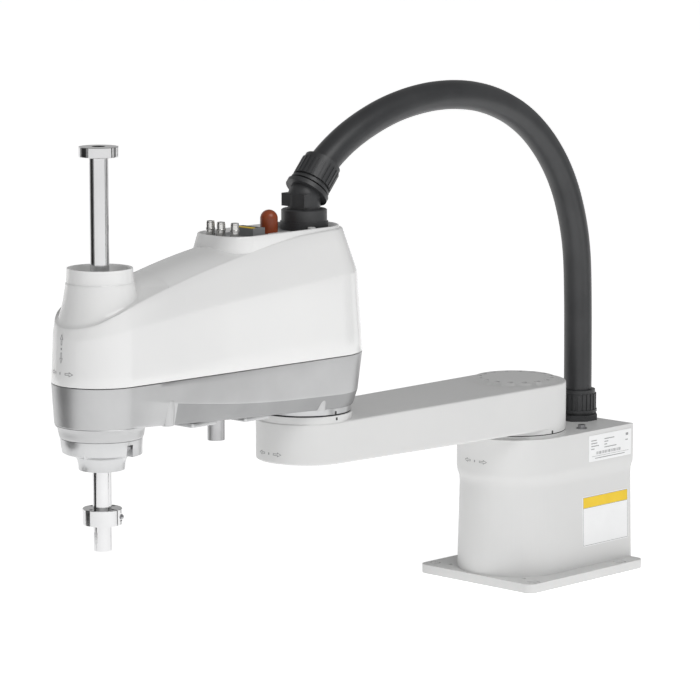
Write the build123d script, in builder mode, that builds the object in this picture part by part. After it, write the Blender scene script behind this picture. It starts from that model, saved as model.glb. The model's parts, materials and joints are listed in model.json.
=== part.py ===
from build123d import *
import math
import os

# Four-axis SCARA robot arm, 350 mm + 300 mm reach, 150 mm stroke, 20 mm hollow shaft.
# Frame: origin on the mounting plane below the first axis, +X from axis 1 to axis 2,
# +Z up. The arm is modelled straight out along +X. Millimetres.

# ---------------------------------------------------------------- driving dimensions
J1 = (0.0, 0.0)                 # first arm axis
J2 = (350.0, 0.0)               # elbow axis
J3 = (650.0, 0.0)               # quill axis

PLATE_FRONT = 70.0              # base plate, measured from axis 1
PLATE_REAR = -136.0
PLATE_HALF = 87.5
PLATE_T = 10.5
BOLT_SPACING = 155.0            # square pattern of the four base bolts
BOLT_CENTRE_X = -23.5
BOLT_R = 4.5

COLUMN_R = 67.4                 # round front of the column and half its width
COLUMN_TOP = 171.0
NECK_R = 60.0
NECK_TOP = 174.0

ARM1_R1 = 59.6                  # first arm, end radii
ARM1_R2 = 53.5
ARM1_TOP = 231.3
CROWN = 3.5                     # low crown over the column
ARM1_BOSS_BOTTOM = 175.0        # round boss over the column
UNDER_AT_J1 = 179.4             # the underside rises towards the elbow
UNDER_AT_J2 = 184.7
ELBOW_BOSS_R = 52.6
ELBOW_BOSS_TOP = 238.5

RING_BOTTOM = 240.0             # polished elbow ring between the arms
ARM2_BOTTOM = 247.0
SEAM_Z = 305.0                  # casting below, cover above
ARM2_R2 = 63.4                  # second arm, end radii at the seam
ARM2_R3 = 51.4
DECK_RIM = 443.0
DECK_FLOOR = 438.5
COLLAR_TOP = 423.6              # rim round the shaft on top of the cover
COLLAR_R = 33.9
COVER_WALL = 3.0

SHAFT_R = 10.0
SHAFT_BORE = 7.0
TOOL_SEAT_R = 9.5
SHAFT_BOTTOM = 127.0
SHAFT_TOP = 548.6
STOP_FLANGE_R = 20.7
CLAMP_BOTTOM = 155.0
CLAMP_TOP = 172.0
CLAMP_R = 20.8
TOOL_PCD = 31.0
QUILL_BOTTOM = 213.3            # lowest point of the quill housing

GLAND_X = -113.5                # conduit gland on the column top
DUCT_D = 33.0
RUNNING = 0.06                  # radial clearance of the quill's running fits
GAP = 0.4                       # air between surfaces that turn past each other

pieces = {}


# ---------------------------------------------------------------- shared shapes
def ring(centre, inner, outer, bottom, top):
    """A plain ring or disc about a vertical axis."""
    with BuildPart() as piece:
        with BuildSketch(Plane.XY.offset(bottom)):
            with Locations(centre):
                Circle(outer)
                if inner > 0:
                    Circle(inner, mode=Mode.SUBTRACT)
        extrude(amount=top - bottom)
    return piece


def turned(centre, outline):
    """A full turn of an outline of (radius, height) points about a vertical axis."""
    with BuildPart() as piece:
        axis_plane = Plane(origin=(centre[0], centre[1], 0), x_dir=(1, 0, 0), z_dir=(0, -1, 0))
        with BuildSketch(axis_plane):
            with BuildLine():
                Polyline(*outline, close=True)
            make_face()
        revolve(axis=Axis((centre[0], centre[1], 0), (0, 0, 1)))
    return piece


def slot_outline(centre_a, radius_a, centre_b, radius_b):
    """Two round ends joined by their outer tangents, inside an open sketch."""
    with Locations(centre_a):
        Circle(radius_a)
    with Locations(centre_b):
        Circle(radius_b)
    make_hull()


def motor(centre, half, bottom, top):
    """A servo motor: square flange and end cap with a slightly narrower body."""
    flange = 7.0
    cap = 12.0
    with BuildPart() as piece:
        with BuildSketch(Plane.XY.offset(bottom)):
            with Locations(centre):
                RectangleRounded(2 * half, 2 * half, 4)
        extrude(amount=flange)
        with BuildSketch(Plane.XY.offset(bottom + flange)):
            with Locations(centre):
                RectangleRounded(2 * half - 4, 2 * half - 4, 7)
        extrude(amount=top - bottom - flange - cap)
        with BuildSketch(Plane.XY.offset(top - cap)):
            with Locations(centre):
                RectangleRounded(2 * half - 1, 2 * half - 1, 4)
        extrude(amount=cap)
    return piece


def belt(centre_a, radius_a, centre_b, radius_b, bottom, top):
    """A closed timing belt round two pulleys."""
    thickness = 1.6
    with BuildPart() as piece:
        with BuildSketch(Plane.XY.offset(bottom)):
            slot_outline(centre_a, radius_a + thickness, centre_b, radius_b + thickness)
        extrude(amount=top - bottom)
        with BuildSketch(Plane.XY.offset(bottom)):
            slot_outline(centre_a, radius_a, centre_b, radius_b)
        extrude(amount=top - bottom, mode=Mode.SUBTRACT)
    return piece


def screws(places, head_r, head_h, thread_r, length, head_bottom):
    """Socket screws with their heads up, as one group of separate solids."""
    with BuildPart() as piece:
        with BuildSketch(Plane.XY.offset(head_bottom)):
            with Locations(*places):
                Circle(head_r)
        extrude(amount=head_h)
        with BuildSketch(Plane.XY.offset(head_bottom)):
            with Locations(*places):
                Circle(thread_r)
        extrude(amount=-length)
        with BuildSketch(Plane.XY.offset(head_bottom + head_h)):
            with Locations(*places):
                RegularPolygon(head_r * 0.5, 6)
        extrude(amount=-head_h * 0.6, mode=Mode.SUBTRACT)
    return piece


def circle_places(centre, radius, count, start=0.0):
    """Evenly spaced places round a circle."""
    step = 2 * math.pi / count
    first = math.radians(start)
    places = []
    for k in range(count):
        angle = first + k * step
        x = centre[0] + radius * math.cos(angle)
        y = centre[1] + radius * math.sin(angle)
        places.append((x, y))
    return places


def rim_edges(piece, radius):
    """The circular edges of one radius."""
    circles = piece.edges().filter_by(GeomType.CIRCLE)
    return [e for e in circles if abs(e.radius - radius) < 0.01]


# ---------------------------------------------------------------- base casting
WALL = 6.0
FLOOR_T = 8.0
BAND_BOTTOM = 132.0             # the upper band stands proud of the body below it
WAIST_Z = 112.0
WAIST_R = 63.8
FOOT_R = 66.2
BORE_R = 46.0                   # seat of the first reducer
TOP_WALL_BOTTOM = 160.0
PANEL_Y = 56.0                  # half width of the rear panel
PANEL_LOW = 26.0
PANEL_HIGH = 148.0

column_profile = [
    (0, PLATE_T / 2),
    (FOOT_R, PLATE_T / 2),
    (FOOT_R, PLATE_T),
    (WAIST_R, WAIST_Z),
    (WAIST_R + 0.6, WAIST_Z + 7),
    (COLUMN_R - 0.6, BAND_BOTTOM - 6),
    (COLUMN_R, BAND_BOTTOM),
    (COLUMN_R, COLUMN_TOP),
    (0, COLUMN_TOP),
]
mirrored_profile = column_profile + [(-r, z) for r, z in reversed(column_profile[1:-1])]

with BuildPart() as base_casting:
    plate_middle = ((PLATE_FRONT + PLATE_REAR) / 2, 0)
    with BuildSketch():
        with Locations(plate_middle):
            RectangleRounded(PLATE_FRONT - PLATE_REAR, 2 * PLATE_HALF, 11)
    extrude(amount=PLATE_T)
    # straight rear part of the column, same section as the turned front
    with BuildSketch(Plane.YZ):
        with BuildLine():
            Polyline(*mirrored_profile, close=True)
        make_face()
    extrude(amount=PLATE_REAR)
    with BuildSketch(Plane.XZ):
        with BuildLine():
            Polyline(*column_profile, close=True)
        make_face()
    revolve(axis=Axis.Z)
    # neck under the first arm
    with BuildSketch(Plane.XY.offset(COLUMN_TOP)):
        Circle(NECK_R)
    extrude(amount=NECK_TOP - COLUMN_TOP)
    # hollow above a floor with one large opening
    with BuildSketch(Plane.XY.offset(FLOOR_T)):
        Circle(WAIST_R - WALL)
        with Locations((PLATE_REAR / 2 + WALL / 2, 0)):
            Rectangle(-PLATE_REAR - WALL, 2 * (WAIST_R - WALL))
    extrude(amount=TOP_WALL_BOTTOM - FLOOR_T, mode=Mode.SUBTRACT)
    with BuildSketch():
        with Locations((-78, 0)):
            RectangleRounded(72, 84, 8)
    extrude(amount=FLOOR_T, mode=Mode.SUBTRACT)
    # seat of the first reducer and the conduit's way in
    with BuildSketch(Plane.XY.offset(NECK_TOP)):
        Circle(BORE_R)
    extrude(amount=-30, mode=Mode.SUBTRACT)
    with BuildSketch(Plane.XY.offset(COLUMN_TOP)):
        with Locations((GLAND_X, 0)):
            Circle(14)
    extrude(amount=-20, mode=Mode.SUBTRACT)
    # rear panel's seat and window
    with BuildSketch(Plane.YZ.offset(PLATE_REAR)):
        with Locations((0, (PANEL_LOW + PANEL_HIGH) / 2)):
            Rectangle(2 * PANEL_Y, PANEL_HIGH - PANEL_LOW)
    extrude(amount=3, mode=Mode.SUBTRACT)
    with BuildSketch(Plane.YZ.offset(PLATE_REAR)):
        with Locations((0, (PANEL_LOW + PANEL_HIGH) / 2)):
            Rectangle(2 * PANEL_Y - 14, PANEL_HIGH - PANEL_LOW - 14)
    extrude(amount=WALL + 1, mode=Mode.SUBTRACT)
    # base bolts: through holes with a spot face cut into the column's foot
    with Locations((BOLT_CENTRE_X, 0, PLATE_T)):
        with GridLocations(BOLT_SPACING, BOLT_SPACING, 2, 2):
            CounterBoreHole(BOLT_R, 8.0, 1.2)
    # dowel holes on the front edge of the plate
    with Locations((47, 57, PLATE_T), (47, -57, PLATE_T)):
        Hole(3.0)
pieces["base_casting"] = base_casting

pieces["j1_seal"] = ring(J1, 56.5, 59.0, NECK_TOP, NECK_TOP + 0.6)

# ---------------------------------------------------------------- first axis drive
REDUCER1_BORE = 34.5
pieces["j1_reducer"] = turned(J1, [
    (REDUCER1_BORE, 130), (50, 130), (50, 154), (56, 154), (56, TOP_WALL_BOTTOM),
    (BORE_R, TOP_WALL_BOTTOM), (BORE_R, 173.5), (REDUCER1_BORE, 173.5),
])
pieces["j1_motor_plate"] = ring(J1, 12, 52, 124, 130)
pieces["j1_motor"] = motor(J1, 30, 48, 124)

HUB1_R = REDUCER1_BORE - GAP
pieces["j1_output_hub"] = ring(J1, 14, HUB1_R, 134, ARM1_BOSS_BOTTOM)

# ---------------------------------------------------------------- base: rear panel
panel_middle_z = (PANEL_LOW + PANEL_HIGH) / 2
POWER_AT = (28.0, 112.0)        # places on the panel: across, up
SIGNAL_AT = (-24.0, 112.0)
AIR_AT = [(-30.0, 62.0), (0.0, 62.0), (30.0, 62.0)]

with BuildPart() as rear_panel:
    with BuildSketch(Plane.YZ.offset(PLATE_REAR)):
        with Locations((0, panel_middle_z)):
            RectangleRounded(2 * PANEL_Y - 0.4, PANEL_HIGH - PANEL_LOW - 0.4, 2)
        with Locations(POWER_AT):
            Circle(11, mode=Mode.SUBTRACT)
        with Locations(SIGNAL_AT):
            Rectangle(34, 16, mode=Mode.SUBTRACT)
        with Locations(*AIR_AT):
            Circle(4, mode=Mode.SUBTRACT)
    extrude(amount=3)
pieces["rear_panel"] = rear_panel

with BuildPart() as rear_power_connector:
    with BuildSketch(Plane.YZ.offset(PLATE_REAR)):
        with Locations(POWER_AT):
            RectangleRounded(30, 30, 3)
    extrude(amount=-3)
    with BuildSketch(Plane.YZ.offset(PLATE_REAR - 3)):
        with Locations(POWER_AT):
            Circle(12.5)
            Circle(10.5, mode=Mode.SUBTRACT)
    extrude(amount=-10)
    with BuildSketch(Plane.YZ.offset(PLATE_REAR - 9)):
        with Locations(POWER_AT):
            Circle(9)
    extrude(amount=16)
pieces["rear_power_connector"] = rear_power_connector

with BuildPart() as rear_signal_connector:
    with BuildSketch(Plane.YZ.offset(PLATE_REAR)):
        with Locations(SIGNAL_AT):
            RectangleRounded(48, 20, 2)
    extrude(amount=-2)
    with BuildSketch(Plane.YZ.offset(PLATE_REAR - 2)):
        with Locations(SIGNAL_AT):
            RectangleRounded(34, 13, 4)
    extrude(amount=-6)
    with BuildSketch(Plane.YZ.offset(PLATE_REAR - 8)):
        with Locations(SIGNAL_AT):
            RectangleRounded(30, 9, 3)
    extrude(amount=4, mode=Mode.SUBTRACT)
pieces["rear_signal_connector"] = rear_signal_connector

with BuildPart() as rear_air_couplers:
    with BuildSketch(Plane.YZ.offset(PLATE_REAR)):
        with Locations(*AIR_AT):
            RegularPolygon(7, 6)
            Circle(2.5, mode=Mode.SUBTRACT)
    extrude(amount=-5)
    with BuildSketch(Plane.YZ.offset(PLATE_REAR - 5)):
        with Locations(*AIR_AT):
            Circle(5)
            Circle(2.5, mode=Mode.SUBTRACT)
    extrude(amount=-8)
    with BuildSketch(Plane.YZ.offset(PLATE_REAR)):
        with Locations(*AIR_AT):
            Circle(3.9)
            Circle(2.5, mode=Mode.SUBTRACT)
    extrude(amount=6)
pieces["rear_air_couplers"] = rear_air_couplers

with BuildPart() as panel_screws:
    corner_y = PANEL_Y - 4
    corner_z = (PANEL_HIGH - PANEL_LOW) / 2 - 4
    with BuildSketch(Plane.YZ.offset(PLATE_REAR)):
        with Locations((0, panel_middle_z)):
            with GridLocations(2 * corner_y, 2 * corner_z, 2, 2):
                Circle(2.8)
    extrude(amount=-1.8)
pieces["panel_screws"] = panel_screws

# ---------------------------------------------------------------- base: small parts


with BuildPart() as rating_plate:
    with BuildSketch(Plane.XZ.offset(-COLUMN_R)):
        with Locations((-93.2, 150.0)):
            RectangleRounded(77, 31, 1.5)
    extrude(amount=-0.5)
pieces["rating_plate"] = rating_plate

with BuildPart() as fitting_on_column:
    with BuildSketch(Plane.XY.offset(COLUMN_TOP)):
        with Locations((-64.5, 48)):
            Circle(6.2)
    extrude(amount=1.2)
    with BuildSketch(Plane.XY.offset(COLUMN_TOP + 1.2)):
        with Locations((-64.5, 48)):
            Circle(4.4)
            RegularPolygon(2.4, 6, mode=Mode.SUBTRACT)
    extrude(amount=3.6)
pieces["earth_screw"] = fitting_on_column

# conduit gland on the column: octagon base, split lock ring, ribbed union nut
GLAND = (GLAND_X, 0.0)
NUT_BOTTOM = 184.5
NUT_TOP = 207.5
NUT_R = 22.2
RIBS = 24


def ribbed_nut(plane, radius, height, bore):
    """A round nut with raised grip ribs, standing on a plane."""
    with BuildPart() as piece:
        with BuildSketch(plane):
            Circle(radius - 1.0)
            with PolarLocations(radius - 1.2, RIBS):
                Rectangle(2.4, 3.2)
            Circle(bore, mode=Mode.SUBTRACT)
        extrude(amount=height * 0.8)
        with BuildSketch(plane.offset(height * 0.8)):
            Circle(radius - 1.4)
            Circle(bore, mode=Mode.SUBTRACT)
        extrude(amount=height * 0.2)
    return piece


with BuildPart() as base_gland:
    with BuildSketch(Plane.XY.offset(COLUMN_TOP)):
        with Locations(GLAND):
            RegularPolygon(24.5, 8, rotation=22.5)
            Circle(13, mode=Mode.SUBTRACT)
    extrude(amount=7)
    with BuildSketch(Plane.XY.offset(COLUMN_TOP + 7)):
        with Locations(GLAND):
            Circle(20)
            Circle(13, mode=Mode.SUBTRACT)
    extrude(amount=3)
    with BuildSketch(Plane.XY.offset(COLUMN_TOP + 10)):
        with Locations(GLAND):
            Circle(23)
            Circle(13, mode=Mode.SUBTRACT)
    extrude(amount=3)
pieces["base_gland"] = base_gland
pieces["base_gland_nut"] = ribbed_nut(
    Plane(origin=(GLAND_X, 0, COLUMN_TOP + 13)), NUT_R, NUT_TOP - COLUMN_TOP - 13, 13)

# ---------------------------------------------------------------- conduit
# One smooth conduit from the column's gland to the swivel elbow over axis 2.
duct_route = [
    (GLAND_X, 0, NUT_TOP),
    (GLAND_X, 0, 330),
    (-106, 0, 402),
    (-78, 0, 472),
    (-24, 0, 530),
    (46, 0, 563),
    (124, 0, 573),
    (204, 0, 564),
    (272, 0, 540),
    (317.6, 0, 511.6),
]


def turn_radii(route):
    """The largest arc at each corner: 0.45 of the shorter run over tan(half the turn)."""
    radii = []
    for a, b, c in zip(route, route[1:], route[2:]):
        before = Vector(*b) - Vector(*a)
        after = Vector(*c) - Vector(*b)
        half_turn = math.radians(before.get_angle(after)) / 2
        radii.append(0.45 * min(before.length, after.length) / math.tan(half_turn))
    return radii


duct_radii = turn_radii(duct_route)
with BuildPart() as cable_duct:
    with BuildLine() as duct_line:
        FilletPolyline(*duct_route, radius=duct_radii)
    with BuildSketch(Plane(origin=duct_route[0], z_dir=(0, 0, 1))):
        Circle(DUCT_D / 2)
    sweep(path=duct_line.line)
pieces["cable_duct"] = cable_duct
duct_length = sum(edge.length for edge in duct_line.line.edges())
print("duct radii", [round(r, 1) for r in duct_radii])
print("duct length", round(duct_length, 1))
print("duct volume ratio", cable_duct.part.volume / (math.pi * DUCT_D**2 / 4 * duct_length))

# ---------------------------------------------------------------- first arm
UNDER_RISE = math.atan((UNDER_AT_J2 - UNDER_AT_J1) / J2[0])
under_plane = Plane(
    origin=(0, 0, UNDER_AT_J1),
    x_dir=(math.cos(UNDER_RISE), 0, math.sin(UNDER_RISE)),
    z_dir=(-math.sin(UNDER_RISE), 0, math.cos(UNDER_RISE)),
)
POCKET_LOW_X = 66.0
POCKET_HIGH_X = 292.0
FLANGE_SCREW_R = 42.0

with BuildPart() as arm1_casting:
    with BuildSketch(Plane.XY.offset(170)):
        slot_outline(J1, ARM1_R1, J2, ARM1_R2)
    extrude(amount=ARM1_TOP - 170)
    split(bisect_by=under_plane, keep=Keep.TOP)
    fillet(arm1_casting.edges().group_by(Axis.Z)[-1], radius=2.0)
    lower_edges = [e for e in arm1_casting.edges() if e.center().Z < UNDER_AT_J2 + 1]
    fillet(lower_edges, radius=3.0)
    # boss over the column
    with BuildSketch(Plane.XY.offset(ARM1_BOSS_BOTTOM)):
        Circle(ARM1_R1 - 0.2)
    extrude(amount=10)
    # boss under the second arm
    with BuildSketch(Plane.XY.offset(ARM1_TOP - 1)):
        with Locations(J2):
            Circle(ELBOW_BOSS_R)
    extrude(amount=ELBOW_BOSS_TOP - ARM1_TOP + 1)
    # hollow between the bosses, closed below by a plate
    with BuildSketch(under_plane):
        with Locations(((POCKET_LOW_X + POCKET_HIGH_X) / 2, 0)):
            RectangleRounded(POCKET_HIGH_X - POCKET_LOW_X, 84, 8)
    extrude(amount=40, mode=Mode.SUBTRACT)
    with BuildSketch(under_plane):
        with Locations(((POCKET_LOW_X + POCKET_HIGH_X) / 2, 0)):
            RectangleRounded(POCKET_HIGH_X - POCKET_LOW_X + 14, 96, 10)
    extrude(amount=2.5, mode=Mode.SUBTRACT)
    # low crown over the column
    with BuildSketch(Plane.XY.offset(ARM1_TOP)):
        Circle(56)
    with BuildSketch(Plane.XY.offset(ARM1_TOP + CROWN)):
        Circle(47)
    loft(ruled=True)
    # recesses and holes of the screws that hold the first reducer
    with BuildSketch(Plane.XY.offset(ARM1_TOP + CROWN)):
        with Locations(*circle_places(J1, FLANGE_SCREW_R, 16, 11.25)):
            Circle(3.6)
    extrude(amount=-5, mode=Mode.SUBTRACT)
    with BuildSketch(Plane.XY.offset(ARM1_TOP)):
        with Locations(J2):
            Circle(30.5)
    extrude(amount=12, mode=Mode.SUBTRACT)
pieces["arm1_casting"] = arm1_casting

with BuildPart() as arm1_bottom_cover:
    with BuildSketch(under_plane):
        with Locations(((POCKET_LOW_X + POCKET_HIGH_X) / 2, 0)):
            RectangleRounded(POCKET_HIGH_X - POCKET_LOW_X + 13.4, 95.4, 9.7)
    extrude(amount=2.5)
pieces["arm1_bottom_cover"] = arm1_bottom_cover

pieces["arm1_flange_screws"] = screws(
    circle_places(J1, FLANGE_SCREW_R, 16, 11.25), 3.0, 3.0, 1.0, 0.2, ARM1_TOP + CROWN - 4.8)

# elbow drive: hub on the first arm, reducer and motor in the second
REDUCER2_BORE = 30.5
pieces["j2_output_hub"] = ring(J2, 9, 30.0, ARM1_TOP, 268)
pieces["elbow_seal"] = ring(J2, 46, 50.5, ELBOW_BOSS_TOP, RING_BOTTOM - GAP)

# ---------------------------------------------------------------- second arm casting
CASTING_R2_LOW = 52.7           # end radii at the foot of the casting
CASTING_R3_LOW = 48.4
CASTING_FOOT = 243.0
UNDER2_AT_J2 = 247.0            # underside of the second arm, rising towards the quill
UNDER2_AT_J3 = 259.5
CAVITY_FLOOR = 268.0
CONE_TOP = 262.0
CONE_BOTTOM = 247.0
QUILL_BEARING_R = 27.0
STOP_PEG_AT = (485.0, 0.0)      # meets the side of the first arm past the joint's range
STOP_PEG_R = 9.3
STOP_PEG_TOP = 256.0

with BuildPart() as arm2_casting:
    with BuildSketch(Plane.XY.offset(CASTING_FOOT)):
        slot_outline(J2, CASTING_R2_LOW, J3, CASTING_R3_LOW)
    with BuildSketch(Plane.XY.offset(SEAM_Z)):
        slot_outline(J2, ARM2_R2, J3, ARM2_R3)
    loft(ruled=True)
    rise2 = math.atan((UNDER2_AT_J3 - UNDER2_AT_J2) / (J3[0] - J2[0]))
    under2 = Plane(
        origin=(J2[0], 0, UNDER2_AT_J2),
        x_dir=(math.cos(rise2), 0, math.sin(rise2)),
        z_dir=(-math.sin(rise2), 0, math.cos(rise2)),
    )
    split(bisect_by=under2, keep=Keep.TOP)
    # side pockets under the band, between the two rib bosses
    for side in (1, -1):
        with BuildSketch(Plane.YZ.offset(592)):
            with BuildLine():
                Polyline((side * 70, 276), (side * 53.5, 276), (side * 43, 250), (side * 43, 240),
                         (side * 70, 240), close=True)
            make_face()
        with BuildSketch(Plane.YZ.offset(384)):
            with BuildLine():
                Polyline((side * 70, 262), (side * 56.5, 262), (side * 49, 246), (side * 49, 240),
                         (side * 70, 240), close=True)
            make_face()
        loft(ruled=True, mode=Mode.SUBTRACT)
    # cone down to the quill housing, and the elbow foot
    with BuildSketch(Plane(origin=(J3[0], 0, 0), x_dir=(1, 0, 0), z_dir=(0, -1, 0))):
        with BuildLine():
            Polyline((0, CONE_TOP + 2), (45.6, CONE_TOP + 2), (45.0, 256), (43.4, 251),
                     (43.0, CONE_BOTTOM), (0, CONE_BOTTOM), close=True)
        make_face()
    revolve(axis=Axis((J3[0], 0, 0), (0, 0, 1)))
    with BuildSketch(Plane.XY.offset(ARM2_BOTTOM)):
        with Locations(J2):
            Circle(CASTING_R2_LOW)
    extrude(amount=6)
    with BuildSketch(Plane.XY.offset(ARM2_BOTTOM)):
        with Locations(J2):
            Circle(60)
    extrude(amount=-6, mode=Mode.SUBTRACT)
    with BuildSketch(Plane.XY.offset(STOP_PEG_TOP)):
        with Locations(STOP_PEG_AT):
            Circle(STOP_PEG_R)
    extrude(amount=-12, mode=Mode.SUBTRACT)
    # hollow from above
    with BuildSketch(Plane.XY.offset(CAVITY_FLOOR)):
        slot_outline(J2, 53, J3, 44)
    extrude(amount=60, mode=Mode.SUBTRACT)
    # seats of the elbow reducer and the quill bearings
    with BuildSketch(Plane.XY.offset(240)):
        with Locations(J2):
            Circle(42)
        with Locations(J3):
            Circle(QUILL_BEARING_R)
    extrude(amount=40, mode=Mode.SUBTRACT)
pieces["arm2_casting"] = arm2_casting

pieces["elbow_ring"] = ring(J2, 42, 51.0, RING_BOTTOM, ARM2_BOTTOM)
pieces["j2_reducer"] = turned(J2, [
    (REDUCER2_BORE, 240.4), (41.6, 240.4), (41.6, CAVITY_FLOOR), (48, CAVITY_FLOOR),
    (48, 276), (REDUCER2_BORE, 276),
])
pieces["j2_motor_plate"] = ring(J2, 10, 46, 276, 282)
pieces["j2_motor"] = motor(J2, 30, 282, 368)
pieces["elbow_stop_peg"] = ring(STOP_PEG_AT, 3.2, STOP_PEG_R, 222.8, STOP_PEG_TOP)

# ---------------------------------------------------------------- quill housing
with BuildPart() as quill_housing:
    with BuildSketch(Plane(origin=(J3[0], 0, 0), x_dir=(1, 0, 0), z_dir=(0, -1, 0))):
        with BuildLine():
            Polyline((19, 247), (42.9, 247), (42.6, 240), (41.2, 232), (38.5, 230.6), (32, 229.4),
                     (27.5, 227), (25.6, 223.5), (24.6, 219), (24.2, QUILL_BOTTOM),
                     (13.5, QUILL_BOTTOM), (13.5, 219), (19, 219), close=True)
        make_face()
    revolve(axis=Axis((J3[0], 0, 0), (0, 0, 1)))
    # clamp lug on the right side, inside the ring's outline and cut flat in front
    with BuildSketch(Plane.XY.offset(230)):
        with Locations(J3):
            Circle(42.3)
        with BuildLine():
            Polyline((600, 16), (690, 16), (681, 18.8), (676.6, 22.1), (652.5, 39.8), (646, 46), (600, 46),
                     close=True)
        make_face(mode=Mode.INTERSECT)
    extrude(amount=16)
    with BuildSketch(Plane.XY.offset(225)):
        with Locations(J3):
            Circle(19)
    extrude(amount=22, mode=Mode.SUBTRACT)
    with Locations((649, 41, 236)):
        Box(8, 13, 14, mode=Mode.SUBTRACT)
pieces["quill_housing"] = quill_housing

with BuildPart() as quill_clamp_screw:
    with BuildSketch(Plane.XY.offset(238)):
        with Locations((649, 38.2)):
            Circle(3.4)
    extrude(amount=3.5)
    with BuildSketch(Plane.XY.offset(241.5)):
        with Locations((649, 38.2)):
            Circle(1.9)
    extrude(amount=1.5)
pieces["quill_clamp_screw"] = quill_clamp_screw

pieces["shaft_wiper"] = ring(J3, 10.4, 18.8, 219, 224)

# quill bearings in the casting
SPLINE_R = 18.0
pieces["quill_bearings"] = ring(J3, SPLINE_R + GAP, QUILL_BEARING_R, 250, 266)

# ---------------------------------------------------------------- spline nut and its drive
THETA_MOTOR_AT = (440.0, 0.0)
THETA_BELT_Z = (282.0, 292.0)
THETA_PULLEY_R = 27.0
THETA_MOTOR_PULLEY_R = 13.5
BELT_AIR = 0.35

pieces["spline_nut"] = ring(J3, SHAFT_R + RUNNING, SPLINE_R, 228, 298)
pieces["theta_pulley"] = turned(J3, [
    (SPLINE_R, 279.5), (29.5, 279.5), (29.5, 281.2), (THETA_PULLEY_R, 281.2),
    (THETA_PULLEY_R, 292.8), (29.5, 292.8), (29.5, 294.5), (SPLINE_R, 294.5),
])
pieces["theta_motor"] = motor(THETA_MOTOR_AT, 28, 302, 372)
pieces["theta_motor_pulley"] = turned(THETA_MOTOR_AT, [
    (4.0, 279.5), (15.5, 279.5), (15.5, 281.2), (THETA_MOTOR_PULLEY_R, 281.2),
    (THETA_MOTOR_PULLEY_R, 292.8), (15.5, 292.8), (15.5, 294.5), (4.0, 294.5),
])
pieces["theta_belt"] = belt(
    J3, THETA_PULLEY_R + BELT_AIR, THETA_MOTOR_AT, THETA_MOTOR_PULLEY_R + BELT_AIR, *THETA_BELT_Z)


def motor_bracket(centre, half, top, thickness, post_y):
    """A motor plate on two side walls that stand on the casting's floor."""
    with BuildPart() as piece:
        with Locations((centre[0], 0, top - thickness / 2)):
            Box(2 * half, 2 * post_y, thickness)
        for side in (1, -1):
            with Locations((centre[0], side * (post_y - 3), (CAVITY_FLOOR + top) / 2)):
                Box(2 * half, 6, top - CAVITY_FLOOR)
        with BuildSketch(Plane.XY.offset(top)):
            with Locations(centre):
                Circle(17)
        extrude(amount=-thickness, mode=Mode.SUBTRACT)
    return piece


pieces["theta_bracket"] = motor_bracket(THETA_MOTOR_AT, 26, 302, 5, 44)

# ---------------------------------------------------------------- screw nut and its drive
Z_MOTOR_AT = (528.0, 0.0)
Z_BELT_Z = (316.0, 326.0)
Z_PULLEY_R = 24.0
Z_MOTOR_PULLEY_R = 15.0
SCREW_NUT_R = 18.0

pieces["screw_nut"] = ring(J3, SHAFT_R + RUNNING, SCREW_NUT_R, 300, 352)
pieces["z_pulley"] = turned(J3, [
    (SCREW_NUT_R, 313.5), (26.5, 313.5), (26.5, 315.2), (Z_PULLEY_R, 315.2),
    (Z_PULLEY_R, 326.8), (26.5, 326.8), (26.5, 328.5), (SCREW_NUT_R, 328.5),
])
pieces["z_motor"] = motor(Z_MOTOR_AT, 28, 336, 404)
pieces["z_bracket"] = motor_bracket(Z_MOTOR_AT, 26, 336, 5, 42)
pieces["z_motor_pulley"] = turned(Z_MOTOR_AT, [
    (4.0, 313.5), (17.0, 313.5), (17.0, 315.2), (Z_MOTOR_PULLEY_R, 315.2),
    (Z_MOTOR_PULLEY_R, 326.8), (17.0, 326.8), (17.0, 328.5), (4.0, 328.5),
])
pieces["z_belt"] = belt(
    J3, Z_PULLEY_R + BELT_AIR, Z_MOTOR_AT, Z_MOTOR_PULLEY_R + BELT_AIR, *Z_BELT_Z)

# bearing bracket round the screw nut, and the holding brake above it
with BuildPart() as screw_nut_bracket:
    with BuildSketch(Plane.XY.offset(332)):
        with Locations(J3):
            Circle(34)
            Circle(SCREW_NUT_R + GAP, mode=Mode.SUBTRACT)
    extrude(amount=8)
    with BuildSketch(Plane.XY.offset(CAVITY_FLOOR)):
        with Locations((J3[0] + 35.5, 0), (J3[0] - 6, 35), (J3[0] - 6, -35)):
            Circle(4)
    extrude(amount=340 - CAVITY_FLOOR)
pieces["screw_nut_bracket"] = screw_nut_bracket
pieces["z_brake"] = ring(J3, 12.0, 26.0, 354, 374)
pieces["brake_bracket"] = ring(J3, 26.0, 33.0, 340, 360)

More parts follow.
